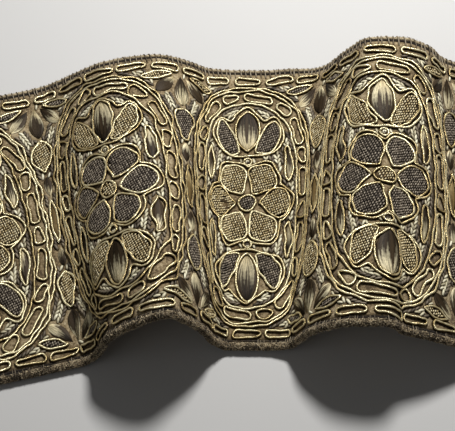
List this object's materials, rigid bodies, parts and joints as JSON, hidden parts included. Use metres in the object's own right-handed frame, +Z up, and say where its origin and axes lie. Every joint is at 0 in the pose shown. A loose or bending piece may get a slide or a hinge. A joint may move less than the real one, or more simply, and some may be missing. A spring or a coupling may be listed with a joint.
{
  "type": "gold cord trim",
  "caption": "Cut length of heavy embroidered trim: brown wool band with gold cord medallions sewn on and whipped edges, lying in waves on a flat surface.",
  "frame": {"origin": "middle of the flat underside of the third medallion, on the surface that the trim lies on", "axes": "+X along the trim, +Y across it to the edge that is farther from the viewer, +Z up off the surface"},
  "size_m": [0.215, 0.1064, 0.0272],
  "materials": {
    "wool": "matt brown wool felt, fuzzy",
    "edging": "matt brown whipped cord, fuzzy",
    "gold_cord": "old gold metal-wrapped cord, soft shine",
    "gold_stitch": "gold thread fillings, soft shine",
    "dark_stitch": "dark grey-brown silk thread, low shine",
    "silver_thread": "tarnished silver thread, bright shine"
  },
  "bodies": {
    "root": {"band": "wool", "edge_far": "edging", "edge_near": "edging", "frame_1": "gold_cord", "frame_2": "gold_cord", "frame_3": "gold_cord", "frame_4": "gold_cord", "frame_5": "gold_cord", "rosette_1": "gold_cord", "rosette_2": "gold_cord", "rosette_3": "gold_cord", "rosette_4": "gold_cord", "rosette_5": "gold_cord", "tulip_far_1": "gold_cord", "tulip_far_2": "gold_cord", "tulip_far_3": "gold_cord", "tulip_far_4": "gold_cord", "tulip_far_5": "gold_cord", "tulip_near_1": "gold_cord", "tulip_near_2": "gold_cord", "tulip_near_3": "gold_cord", "tulip_near_4": "gold_cord", "tulip_near_5": "gold_cord"}
  },
  "joints": []
}
